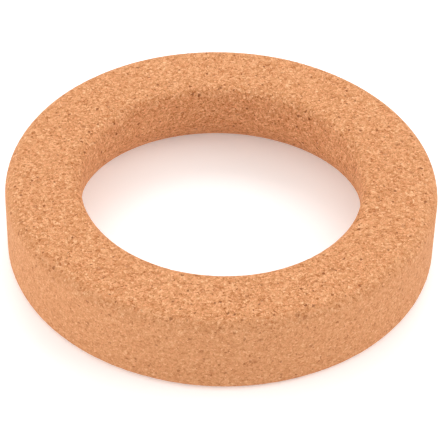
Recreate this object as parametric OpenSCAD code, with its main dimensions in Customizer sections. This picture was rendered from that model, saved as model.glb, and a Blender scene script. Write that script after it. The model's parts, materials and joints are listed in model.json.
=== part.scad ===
// Cork ring: a round stand, pressed from cork granules in one piece, that holds a round-bottomed flask.
// Origin at the centre of the foot, +Z up along the ring's axis, millimetres.

/* [Ring] */
// Outside diameter
outer_diameter = 140; // [120:1:200]
// Height from the foot to the top face
height = 27.5; // [23:0.5:45]

/* [Hole] */
// Diameter at the throat, the narrowest part of the hole
throat_diameter = 90.5; // [50:0.5:108]
// Height of the straight band round the throat
throat_band = 2.5; // [1:0.1:5]
// Depth of the rounded lead-in, from the top face down to the throat band
lead_in_depth = 5.8; // [4.8:0.1:8]
// How much further out the mouth lies than the throat, on each side
lead_in_width = 1.3; // [0.6:0.1:3.5]
// How much further out the underside opening lies than the throat, on each side
flare_width = 12.5; // [4:0.1:16]

/* [Edges] */
// Radius of the outer edge at the top face
top_edge_radius = 4; // [0.5:0.1:6]
// Radius of the outer edge at the foot
foot_edge_radius = 3; // [0.5:0.1:7]
// Radius of the edge between the lead-in and the top face
mouth_edge_radius = 4; // [0.5:0.1:4.5]
// Radius of the edge between the underside flare and the foot
flare_edge_radius = 1; // [0.3:0.1:2.5]

/* [Hidden] */

outer_r = outer_diameter / 2;
throat_r = throat_diameter / 2;
ring_width = outer_r - throat_r;
flare_depth = height - lead_in_depth - throat_band;

// An outer edge never takes more than this share of the flat face that it borders
edge_share = 0.5;
top_edge_r = min(top_edge_radius, edge_share * (ring_width - lead_in_width));
foot_edge_r = min(foot_edge_radius, edge_share * (ring_width - flare_width));

cork_colour = [0.88, 0.63, 0.44];
// How far each cutting shape runs past the faces that it cuts
overrun = 1;
// How far an edge's round stands past the long arc that it meets, so that the two cross cleanly
lap = 0.002;
round_steps = 180;

// What is cut away between the throat band and a face of the ring, in the plane of the section.
// x runs outwards from the throat and y runs from the band's end to the face. A long arc leaves the
// band without a corner and reaches the face `width` further out, and a small round softens its edge.
module hole_cut(depth, width, edge_r) {
    arc_r = (depth * depth + width * width) / (2 * width);
    edge_x = arc_r - sqrt(pow(arc_r - edge_r + lap, 2) - pow(depth - edge_r, 2));
    edge_start = (depth - edge_r) * arc_r / (arc_r - edge_r);
    difference() {
        translate([-overrun, 0]) square([overrun + width, depth + overrun]);
        translate([arc_r, 0]) circle(arc_r, $fn = round_steps);
    }
    difference() {
        translate([0, edge_start]) square([edge_x, depth + overrun - edge_start]);
        translate([edge_x, depth - edge_r]) circle(edge_r, $fn = round_steps);
    }
}

// What is cut away to round an outer corner that points along +x and +y and lies at the origin
module corner_cut(edge_r) {
    translate([-edge_r, -edge_r]) difference() {
        square(edge_r + overrun);
        circle(edge_r, $fn = round_steps);
    }
}

// Half of the ring's section: x is the distance from the axis and y is the height
module ring_section() {
    difference() {
        translate([throat_r, 0]) square([ring_width, height]);
        translate([throat_r, height - lead_in_depth])
            hole_cut(lead_in_depth, lead_in_width, mouth_edge_radius);
        translate([throat_r, flare_depth]) mirror([0, 1])
            hole_cut(flare_depth, flare_width, flare_edge_radius);
        translate([outer_r, height]) corner_cut(top_edge_r);
        translate([outer_r, 0]) mirror([0, 1]) corner_cut(foot_edge_r);
    }
}

// The ring, turned from its section
module ring() {
    color(cork_colour) rotate_extrude($fn = round_steps) ring_section();
}

ring();
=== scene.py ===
import json
from math import cos, pi, radians, sin

import bpy
import numpy as np
from mathutils import Matrix, Vector


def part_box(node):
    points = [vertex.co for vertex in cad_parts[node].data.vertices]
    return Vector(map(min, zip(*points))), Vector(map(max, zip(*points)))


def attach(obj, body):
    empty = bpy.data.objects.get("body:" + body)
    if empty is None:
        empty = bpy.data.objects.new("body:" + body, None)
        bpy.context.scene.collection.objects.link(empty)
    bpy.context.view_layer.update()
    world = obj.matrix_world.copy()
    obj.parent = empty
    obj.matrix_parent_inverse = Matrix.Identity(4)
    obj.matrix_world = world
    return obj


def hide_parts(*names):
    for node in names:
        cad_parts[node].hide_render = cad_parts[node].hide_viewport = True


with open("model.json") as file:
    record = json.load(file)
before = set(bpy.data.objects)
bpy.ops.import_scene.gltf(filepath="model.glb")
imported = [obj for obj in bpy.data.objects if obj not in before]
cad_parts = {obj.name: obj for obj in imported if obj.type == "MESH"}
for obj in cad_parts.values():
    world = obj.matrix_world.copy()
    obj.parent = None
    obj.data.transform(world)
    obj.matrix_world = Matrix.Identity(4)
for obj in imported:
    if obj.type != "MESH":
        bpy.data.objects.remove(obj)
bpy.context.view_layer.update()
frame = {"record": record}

# ---- The ring ------------------------------------------------------------------------------------
# One solid of agglomerated cork: bark is ground to fine granules, which are pressed and baked with
# a little binder. The ring is then turned to size, its outer wall sanded, and its edges rounded.

RING_LOW, RING_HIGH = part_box("ring")
OUTER_R = RING_HIGH.x
HEIGHT = RING_HIGH.z
THROAT = next(m for m in frame["record"]["mounts"] if m["name"] == "throat")
THROAT_R = THROAT["dims"]["r_mm"] / 1000
BAND = THROAT["dims"]["length_mm"] / 1000
BAND_LOW = THROAT["pos_m"][2] - BAND / 2
BAND_HIGH = BAND_LOW + BAND
LEAD_IN_WIDTH = 0.0013
FLARE_WIDTH = 0.0125
TOP_EDGE_R = 0.004
FOOT_EDGE_R = 0.003
MOUTH_EDGE_R = 0.004
FLARE_EDGE_R = 0.001

# Spacing of the section's points: fine on the edge rounds, coarser on the flat and hidden faces
FOOT_STEP = 0.0008
FOOT_EDGE_STEP = 0.00045
WALL_STEP = 0.0006
TOP_EDGE_STEP = 0.00035
TOP_STEP = 0.0005
LEAD_IN_STEP = 0.00045
BAND_STEP = 0.0005
FLARE_STEP = 0.00085
FLARE_EDGE_STEP = 0.00015
ROUND_STEPS = 600


def straight(start, end, step):
    """Points evenly spaced from start up to, but not at, end."""
    start, end = np.array(start), np.array(end)
    count = max(2, round(np.linalg.norm(end - start) / step))
    share = np.linspace(0, 1, count, endpoint=False)[:, None]
    return start + share * (end - start)


def arc(centre, radius, start_angle, end_angle, step):
    """Points on a circle about centre, from start_angle up to, but not at, end_angle."""
    count = max(2, round(abs(end_angle - start_angle) * radius / step))
    angle = np.linspace(start_angle, end_angle, count, endpoint=False)
    return np.array(centre) + radius * np.stack([np.cos(angle), np.sin(angle)], axis=1)


def hole_side(depth, width, edge_r):
    """The long arc and the small edge round between the throat band and a face of the ring.

    The long arc leaves the band upright and would meet the face `width` further out, `depth` away,
    so its radius is (depth squared + width squared) / (2 width). The edge round touches the long arc
    from inside and the face, so its centre lies edge_r below the face.
    """
    long_r = (depth**2 + width**2) / (2 * width)
    edge_out = long_r - ((long_r - edge_r) ** 2 - (depth - edge_r) ** 2) ** 0.5
    turn = np.arcsin((depth - edge_r) / (long_r - edge_r))
    return long_r, edge_out, turn


def ring_section():
    """The section's outline, counter-clockwise from the inner end of the foot: (radius, height)."""
    lead_r, mouth_out, lead_turn = hole_side(HEIGHT - BAND_HIGH, LEAD_IN_WIDTH, MOUTH_EDGE_R)
    flare_r, flare_out, flare_turn = hole_side(BAND_LOW, FLARE_WIDTH, FLARE_EDGE_R)
    foot_in = THROAT_R + flare_out
    top_in = THROAT_R + mouth_out
    return np.concatenate([
        straight((foot_in, 0), (OUTER_R - FOOT_EDGE_R, 0), FOOT_STEP),
        arc((OUTER_R - FOOT_EDGE_R, FOOT_EDGE_R), FOOT_EDGE_R, -pi / 2, 0, FOOT_EDGE_STEP),
        straight((OUTER_R, FOOT_EDGE_R), (OUTER_R, HEIGHT - TOP_EDGE_R), WALL_STEP),
        arc((OUTER_R - TOP_EDGE_R, HEIGHT - TOP_EDGE_R), TOP_EDGE_R, 0, pi / 2, TOP_EDGE_STEP),
        straight((OUTER_R - TOP_EDGE_R, HEIGHT), (top_in, HEIGHT), TOP_STEP),
        arc((top_in, HEIGHT - MOUTH_EDGE_R), MOUTH_EDGE_R, pi / 2, pi - lead_turn, TOP_EDGE_STEP),
        arc((THROAT_R + lead_r, BAND_HIGH), lead_r, pi - lead_turn, pi, LEAD_IN_STEP),
        straight((THROAT_R, BAND_HIGH), (THROAT_R, BAND_LOW), BAND_STEP),
        arc((THROAT_R + flare_r, BAND_LOW), flare_r, pi, pi + flare_turn, FLARE_STEP),
        arc((foot_in, FLARE_EDGE_R), FLARE_EDGE_R, pi + flare_turn, 1.5 * pi, FLARE_EDGE_STEP),
    ])


section = ring_section()
# outward normal in the section plane: the outline's direction turned a quarter turn clockwise
along = np.roll(section, -1, axis=0) - np.roll(section, 1, axis=0)
section_normal = np.stack([along[:, 1], -along[:, 0]], axis=1)
section_normal /= np.linalg.norm(section_normal, axis=1, keepdims=True)

# The outline carried round the axis: a grid of ROUND_STEPS turns by len(section) points
turn = np.linspace(0, 2 * pi, ROUND_STEPS, endpoint=False)[:, None]


def carried(radial, height):
    """Section coordinates turned about Z: x = radial cos, y = radial sin, z = height."""
    across = radial * np.cos(turn)
    away = radial * np.sin(turn)
    return np.stack([across, away, height + 0 * turn], axis=-1).reshape(-1, 3)


points = carried(section[:, 0], section[:, 1])
normals = carried(section_normal[:, 0], section_normal[:, 1])


def granules(points, size, seed):
    """Cork granules in space: for each point, the distances to the nearest and the second nearest
    granule centre, in granule sizes, and the nearest granule's own random number.

    Space is a lattice of cubes with one centre at a random place in each, so only the 27 cubes
    about a point can hold its nearest centres."""
    low = points.min(axis=0) - 2 * size
    cells = np.ceil((points.max(axis=0) + 2 * size - low) / size).astype(int) + 1
    rng = np.random.default_rng(seed)
    centre = rng.random((*cells, 3))
    number = rng.random(cells)
    place = (points - low) / size
    cube = np.floor(place).astype(int)
    nearest = np.full(len(points), np.inf)
    second = np.full(len(points), np.inf)
    own = np.zeros(len(points))
    for offset in np.ndindex(3, 3, 3):
        other = cube + np.array(offset) - 1
        index = tuple(other.T)
        gap = np.linalg.norm(place - other - centre[index], axis=1)
        closer = gap < nearest
        second = np.where(closer, nearest, np.minimum(second, gap))
        own = np.where(closer, number[index], own)
        nearest = np.where(closer, gap, nearest)
    return nearest, second, own


def slow_waves(points, length, seed, count=24):
    """The sum of `count` sine waves of random direction and phase, each 0.7 to 1.6 times `length`
    long, scaled by 1.6 root `count` and held between -1 and 1."""
    rng = np.random.default_rng(seed)
    direction = rng.normal(size=(count, 3))
    direction /= np.linalg.norm(direction, axis=1, keepdims=True)
    pitch = length * rng.uniform(0.7, 1.6, count)
    phase = points @ (direction * (2 * pi / pitch)[:, None]).T + rng.uniform(0, 2 * pi, count)
    return np.clip(np.sin(phase).sum(axis=1) / (count ** 0.5 * 1.6), -1, 1)


# Relief, always inwards from the turned shape: slow waves left by the turning, grooves where two
# granules meet, and round pits where a granule has fallen out
WAVE_DEPTH = 0.00008
WAVE_LENGTH = 0.022
GROOVE_DEPTH = 0.00006
GROOVE_WIDTH = 0.35  # in granule sizes
GRANULE_SIZE = 0.0019
PIT_DEPTH = 0.00028
PIT_SPACING = 0.0026
PIT_R = 0.33  # in pit spacings
PIT_SHARE = 0.10

near, far, own = granules(points, GRANULE_SIZE, seed=11)
groove = np.clip(1 - (far - near) / GROOVE_WIDTH, 0, 1) ** 2
pit_near, pit_far, pit_own = granules(points, PIT_SPACING, seed=12)
pit = np.where(pit_own < PIT_SHARE, np.clip(1 - (pit_near / PIT_R) ** 2, 0, 1), 0)
wave = 0.5 + 0.5 * slow_waves(points, WAVE_LENGTH, seed=13)
depth = WAVE_DEPTH * wave + GROOVE_DEPTH * groove + PIT_DEPTH * pit
points = points - depth[:, None] * normals

# A face between each two neighbours on the outline and each two turns; both ways round it closes
count = len(section)
rows = np.arange(ROUND_STEPS)[:, None]
cols = np.arange(count)[None, :]
next_row = (rows + 1) % ROUND_STEPS
next_col = (cols + 1) % count
quads = np.stack([
    rows * count + cols,
    next_row * count + cols,
    next_row * count + next_col,
    rows * count + next_col,
], axis=-1).reshape(-1, 4)
ring_mesh = bpy.data.meshes.new("cork_ring")
ring_mesh.from_pydata(points.tolist(), [], quads.tolist())
ring_mesh.shade_smooth()
# the pits' mark also goes to the material, which paints shade and dust into the pits
pit_mark = ring_mesh.attributes.new("pit", "FLOAT", "POINT")
pit_mark.data.foreach_set("value", pit.astype(np.float32))
# 1 on the outer wall, 0 on the top and in the hole
sanded = np.tile(np.clip(section_normal[:, 0], 0, 1), ROUND_STEPS)
sanded_mark = ring_mesh.attributes.new("sanded", "FLOAT", "POINT")
sanded_mark.data.foreach_set("value", sanded.astype(np.float32))
ring = bpy.data.objects.new("cork_ring", ring_mesh)
bpy.context.scene.collection.objects.link(ring)


class Wires:
    """Adds nodes to one material and joins them. Each input takes a socket, a number or a colour."""

    def __init__(self, tree):
        self.tree = tree

    def node(self, kind, settings=None, **inputs):
        made = self.tree.nodes.new("ShaderNode" + kind)
        for name, value in (settings or {}).items():
            setattr(made, name, value)
        for name, value in inputs.items():
            key = int(name[1:]) if name[1:].isdigit() else name
            self.join(value, made.inputs[key])
        return made

    def join(self, value, socket):
        if isinstance(value, bpy.types.NodeSocket):
            self.tree.links.new(value, socket)
        else:
            socket.default_value = value

    def math(self, operation, a, b=0.0, c=0.0):
        return self.node("Math", {"operation": operation}, i0=a, i1=b, i2=c).outputs[0]

    def ramp(self, value, stops):
        made = self.node("ValToRGB", i0=value)
        points = made.color_ramp.elements
        while len(points) < len(stops):
            points.new(0.5)
        for point, (place, colour) in zip(points, stops):
            point.position = place
            point.color = (*colour, 1)
        return made.outputs[0]

    def mix(self, share, a, b, blend="MIX"):
        made = self.node("Mix", {"data_type": "RGBA", "blend_type": blend})
        for value, socket in ((share, 0), (a, 6), (b, 7)):
            self.join(value, made.inputs[socket])
        return made.outputs[2]


cork = bpy.data.materials.new("pressed_cork")
cork.use_nodes = True
tree = cork.node_tree
shader = tree.nodes["Principled BSDF"]
w = Wires(tree)

BARK = (0.23, 0.056, 0.012)
DARK_CORK = (0.45, 0.150, 0.042)
CORK = (0.690, 0.310, 0.132)
PALE_CORK = (0.835, 0.405, 0.196)
LIGHT_CORK = (0.98, 0.60, 0.34)
REDDER = (1.0, 0.93, 0.91)
YELLOWER = (0.99, 1.0, 0.97)
# the outer wall's mix colour: sanding dust, darker than the cork, which paints shade onto the wall
SANDING_DUST_AND_SHADE = (0.463, 0.217, 0.100)
WHITE = (1.0, 1.0, 1.0)
BLACK = (0.0, 0.0, 0.0)

# Pattern scales are in cells for each millimetre
COARSE = 1.4
FINE = 3.0
FLECKS = 0.42
TEARS = 0.9
MOTTLE = 0.22

place = w.node("TexCoord").outputs["Object"]
to_millimetres = {"operation": "MULTIPLY"}
millimetres = w.node("VectorMath", to_millimetres, i0=place, i1=(1000, 1000, 1000)).outputs[0]
sanded = w.node("Attribute", {"attribute_name": "sanded"}).outputs["Fac"]
# the pits' mark, read for the painted shade and dust in the pits
pit_shade_and_dust_mask = w.node("Attribute", {"attribute_name": "pit"}).outputs["Fac"]

# the granules are torn, not cut: their outlines wander by a third of a millimetre
TEAR_REACH = 1.3
torn = w.node("TexNoise", Vector=millimetres, Scale=TEARS, Detail=2.0, Roughness=0.6).outputs["Color"]
torn = w.node("VectorMath", {"operation": "SUBTRACT"}, i0=torn, i1=(0.5, 0.5, 0.5)).outputs[0]
reach = (TEAR_REACH, TEAR_REACH, TEAR_REACH)
wander = w.node("VectorMath", {"operation": "MULTIPLY_ADD"}, i0=torn, i1=reach, i2=millimetres)
wander = wander.outputs[0]

coarse = w.node("TexVoronoi", Vector=wander, Scale=COARSE, Randomness=1.0)
to_edge = {"feature": "DISTANCE_TO_EDGE"}
coarse_edge = w.node("TexVoronoi", to_edge, Vector=wander, Scale=COARSE, Randomness=1.0)
fine = w.node("TexVoronoi", Vector=wander, Scale=FINE, Randomness=1.0)
coarse_tone = w.node("SeparateColor", i0=coarse.outputs["Color"])
fine_tone = w.node("SeparateColor", i0=fine.outputs["Color"])

# tone of each granule: half from the coarse ones, half from the crumbs between them, and a slow
# mottling over both
tone = w.math("MULTIPLY", fine_tone.outputs[0], 0.5)
tone = w.math("MULTIPLY_ADD", coarse_tone.outputs[0], 0.5, tone)
MOTTLE_REACH = 0.08
mottle = w.node("TexNoise", Vector=millimetres, Scale=MOTTLE, Detail=2.0, Roughness=0.5).outputs["Fac"]
tone = w.math("ADD", tone, w.math("MULTIPLY_ADD", mottle, MOTTLE_REACH, -MOTTLE_REACH / 2))
tone_stops = [(0.0, BARK), (0.10, DARK_CORK), (0.42, CORK), (0.75, PALE_CORK), (1.0, LIGHT_CORK)]
colour = w.ramp(tone, tone_stops)
# some granules are redder and some yellower
tint = w.ramp(coarse_tone.outputs[2], [(0.0, REDDER), (0.5, WHITE), (1.0, YELLOWER)])
colour = w.mix(1.0, colour, tint, "MULTIPLY")

# seams between granules are darker
SEAM_WIDTH = 0.12
SEAM_STRENGTH = 0.35
seam = w.ramp(coarse_edge.outputs["Distance"], [(0.0, WHITE), (SEAM_WIDTH, BLACK)])
colour = w.mix(w.math("MULTIPLY", seam, SEAM_STRENGTH), colour, (*DARK_CORK, 1))

# sanding dust evens the outer wall out; its colour, darker than the cork's, also paints shade onto the
# outer wall
DUST_AND_SHADE_STRENGTH = 0.43
colour = w.mix(w.math("MULTIPLY", sanded, DUST_AND_SHADE_STRENGTH), colour, (*SANDING_DUST_AND_SHADE, 1))

# bark flecks: three cells in five hold one, of its own size, and sanding makes them fainter
FLECK_SHARE = 0.60
FLECK_SMALLEST = 0.06
FLECK_SPREAD = 0.16
FLECK_STRENGTH = 0.78
FLECK_SANDED_OFF = 0.25
fleck = w.node("TexVoronoi", Vector=wander, Scale=FLECKS, Randomness=1.0)
fleck_kind = w.node("SeparateColor", i0=fleck.outputs["Color"])
fleck_size = w.math("MULTIPLY_ADD", fleck_kind.outputs[1], FLECK_SPREAD, FLECK_SMALLEST)
is_fleck = w.math("LESS_THAN", fleck_kind.outputs[0], FLECK_SHARE)
fleck_mask = w.math("MULTIPLY", w.math("LESS_THAN", fleck.outputs["Distance"], fleck_size), is_fleck)
fleck_strength = w.math("MULTIPLY_ADD", sanded, -FLECK_SANDED_OFF, FLECK_STRENGTH)
colour = w.mix(w.math("MULTIPLY", fleck_mask, fleck_strength), colour, (*BARK, 1))

# painted shade and dust: the pits' floors are darkened towards the bark colour
PIT_SHADE_AND_DUST_STRENGTH = 0.5
colour = w.mix(w.math("MULTIPLY", pit_shade_and_dust_mask, PIT_SHADE_AND_DUST_STRENGTH), colour, (*BARK, 1))
w.join(colour, shader.inputs["Base Color"])
shader.inputs["Roughness"].default_value = 0.92
shader.inputs["Specular IOR Level"].default_value = 0.25

# Fine relief, in millimetres: each granule and crumb stands at its own height, seams and flecks lie
# lower, and sanding has taken most of it off the outer wall
CRUMB_HEIGHT = 0.06
GRANULE_HEIGHT = 0.10
SEAM_HEIGHT = -0.10
FLECK_HEIGHT = -0.12
HEIGHT_SANDED_OFF = 0.6
height = w.math("MULTIPLY", coarse_tone.outputs[1], GRANULE_HEIGHT)
height = w.math("MULTIPLY_ADD", fine_tone.outputs[1], CRUMB_HEIGHT, height)
height = w.math("MULTIPLY_ADD", seam, SEAM_HEIGHT, height)
height = w.math("MULTIPLY_ADD", fleck_mask, FLECK_HEIGHT, height)
height = w.math("MULTIPLY", height, w.math("MULTIPLY_ADD", sanded, -HEIGHT_SANDED_OFF, 1.0))
bump = w.node("Bump", Strength=1.0, Distance=0.001, Height=height)
w.join(bump.outputs[0], shader.inputs["Normal"])
ring_mesh.materials.append(cork)
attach(ring, "root")
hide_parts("ring")

# ---- The floor -----------------------------------------------------------------------------------
# A wide sheet of white paper that glows a little, so that it stays pale right up to the ring.

FLOOR_HALF = 6.0
PAPER = (0.92, 0.915, 0.91)
PAPER_GLOW = 0.23
corners = [
    (-FLOOR_HALF, -FLOOR_HALF, 0),
    (FLOOR_HALF, -FLOOR_HALF, 0),
    (FLOOR_HALF, FLOOR_HALF, 0),
    (-FLOOR_HALF, FLOOR_HALF, 0),
]
floor_mesh = bpy.data.meshes.new("floor")
floor_mesh.from_pydata(corners, [], [(0, 1, 2, 3)])
floor = bpy.data.objects.new("floor", floor_mesh)
bpy.context.scene.collection.objects.link(floor)
paper = bpy.data.materials.new("pale_paper")
paper.use_nodes = True
paper_shader = paper.node_tree.nodes["Principled BSDF"]
paper_shader.inputs["Base Color"].default_value = (*PAPER, 1)
paper_shader.inputs["Roughness"].default_value = 0.9
paper_shader.inputs["Emission Color"].default_value = (*WHITE, 1)
paper_shader.inputs["Emission Strength"].default_value = PAPER_GLOW
floor_mesh.materials.append(paper)

# ---- The light -----------------------------------------------------------------------------------
# Even white light from all round, with soft boxes low at the left, at the right and behind.

SURROUND_STRENGTH = 0.85
world = bpy.data.worlds.new("studio")
bpy.context.scene.world = world
world.use_nodes = True
surround = world.node_tree.nodes["Background"]
surround.inputs["Color"].default_value = (*WHITE, 1)
surround.inputs["Strength"].default_value = SURROUND_STRENGTH

# azimuth counts from the front, positive to the right; both angles are in degrees
SOFT_BOX_SIZE = 0.9
SOFT_BOX_DISTANCE = 1.4


def soft_box(name, power, azimuth, elevation):
    """A square area light that looks at the ring's centre from an azimuth and an elevation."""
    light = bpy.data.lights.new(name, "AREA")
    light.size = SOFT_BOX_SIZE
    light.energy = power
    lamp = bpy.data.objects.new(name, light)
    az = radians(azimuth)
    el = radians(elevation)
    spot = SOFT_BOX_DISTANCE * Vector((sin(az) * cos(el), -cos(az) * cos(el), sin(el)))
    lamp.location = spot
    lamp.rotation_euler = spot.to_track_quat("Z", "Y").to_euler()
    bpy.context.scene.collection.objects.link(lamp)


soft_box("left_side", power=7.2, azimuth=-85, elevation=12)
soft_box("front_left", power=1.6, azimuth=-40, elevation=30)
soft_box("right_side", power=6.3, azimuth=82, elevation=30)
soft_box("back", power=8.2, azimuth=180, elevation=50)

# ---- The camera ----------------------------------------------------------------------------------
# It looks down at the ring from the front, and leans a little to one side.

VIEW_ELEVATION = radians(40.82)
VIEW_DISTANCE = 0.735
AIM = Vector((-0.0002, 0, 0.0088))
LEAN = 0.0286
LENS = 183.0
SENSOR_WIDTH = 36
camera_data = bpy.data.cameras.new("camera")
camera_data.lens = LENS
camera_data.sensor_width = SENSOR_WIDTH
camera = bpy.data.objects.new("camera", camera_data)
forward = Vector((0, cos(VIEW_ELEVATION), -sin(VIEW_ELEVATION)))
camera.matrix_world = (
    Matrix.Translation(AIM - VIEW_DISTANCE * forward)
    @ Matrix.Rotation(pi / 2 - VIEW_ELEVATION, 4, "X")
    @ Matrix.Rotation(LEAN, 4, "Z")
)
bpy.context.scene.collection.objects.link(camera)
bpy.context.scene.camera = camera
bpy.context.scene.view_settings.view_transform = "Standard"
